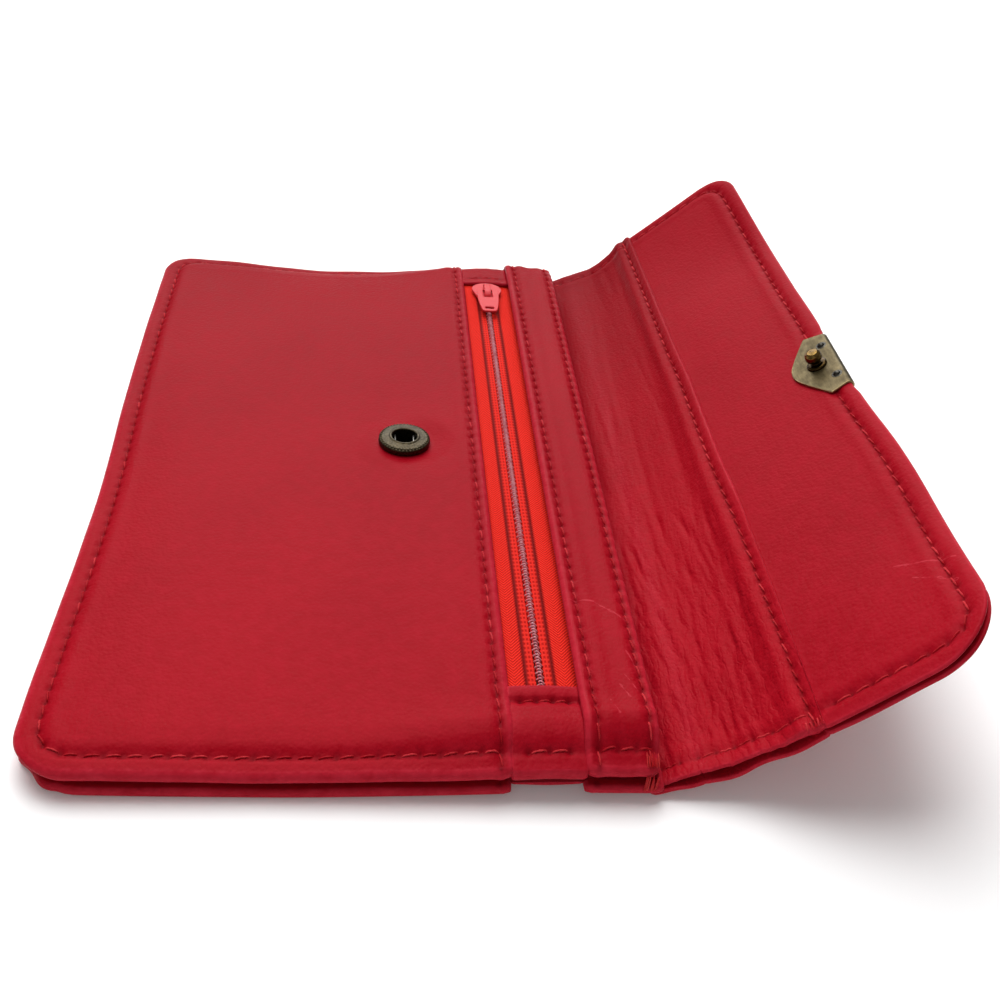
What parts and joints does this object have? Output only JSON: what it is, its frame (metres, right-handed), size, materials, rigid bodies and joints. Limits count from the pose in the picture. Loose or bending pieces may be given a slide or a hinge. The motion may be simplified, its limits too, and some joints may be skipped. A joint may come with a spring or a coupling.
{
  "type": "phone wallet case",
  "caption": "Flat leather phone wallet with a zipped coin pocket, an open main pocket and a gusseted flap that closes on a snap.",
  "frame": {"origin": "centre of the back face, on which the case lies", "axes": "+Z out of the front, +Y along the case's length, +X across it towards the gusset and flap"},
  "size_m": [0.1414, 0.1716, 0.0319],
  "materials": {
    "leather_red": "smooth fine-grained leather, softly glazed",
    "leather_gusset": "thin soft leather, wrinkled",
    "leather_flap": "smooth fine-grained leather, softly glazed",
    "stiffener_board": "fibre board, sealed inside the flap",
    "lining_cloth": "thin black lining cloth",
    "zip_tape": "twill-woven polyester tape",
    "zip_coil": "nylon coil",
    "zip_metal": "crimped wire",
    "slider_paint": "baked enamel",
    "antique_brass": "antiqued, rubbed bright on the edges",
    "bright_brass": "worn bright",
    "spring_steel": "spring wire"
  },
  "bodies": {
    "case": {"back_panel": "leather_red", "back_inset": "leather_red", "back_strip": "leather_red", "edge_hem": "leather_red", "front_panel": "leather_red", "mouth_strip": "leather_red", "zip_patch_near": "leather_red", "zip_patch_far": "leather_red", "mouth_tack_near": "leather_red", "mouth_tack_far": "leather_red", "back_lining": "lining_cloth", "coin_pocket_lining": "lining_cloth", "zip_tape_left": "zip_tape", "zip_tape_right": "zip_tape", "zip_coil_left": "zip_coil", "zip_coil_right": "zip_coil", "zip_top_stop_left": "zip_metal", "zip_top_stop_right": "zip_metal", "zip_bottom_stop": "zip_metal", "socket_ring": "antique_brass", "socket_cap": "antique_brass", "socket_spring": "spring_steel"},
    "spine": {"gusset_inner": "leather_gusset", "gusset_outer": "leather_gusset", "gusset_fold_lower": "leather_gusset", "gusset_fold_upper": "leather_gusset"},
    "flap": {"gusset_upper_inner": "leather_gusset", "gusset_upper_outer": "leather_gusset", "flap_outer": "leather_flap", "flap_stiffener": "stiffener_board", "flap_inner": "leather_flap", "flap_seam": "leather_flap", "catch_plate": "antique_brass", "ball_stud": "bright_brass", "plate_rivet_near": "antique_brass", "plate_rivet_far": "antique_brass"},
    "slider": {"slider_body": "slider_paint", "slider_crown": "slider_paint"},
    "pull": {"zip_pull": "slider_paint"}
  },
  "joints": [
    {"name": "spine_hinge", "type": "hinge", "parent": "case", "child": "spine", "pos_m": [0.0488, 0, 0.002], "axis": [0, -1, 0], "range_deg": [-20, 69.5], "deforming": ["gusset_fold_lower", "gusset_fold_upper"]},
    {"name": "flap_hinge", "type": "hinge", "parent": "spine", "child": "flap", "pos_m": [0.058, 0, 0.00629], "axis": [0, -1, 0], "range_deg": [-13, 77.7]},
    {"name": "zip_slide", "type": "slide", "parent": "case", "child": "slider", "axis": [0, -1, 0], "range_m": [0, 0.118], "deforming": ["zip_coil_left", "zip_coil_right"]},
    {"name": "pull_hinge", "type": "hinge", "parent": "slider", "child": "pull", "pos_m": [0.0304, 0.0648, 0.00912], "axis": [-1, 0, 0], "range_deg": [0, 176]}
  ]
}
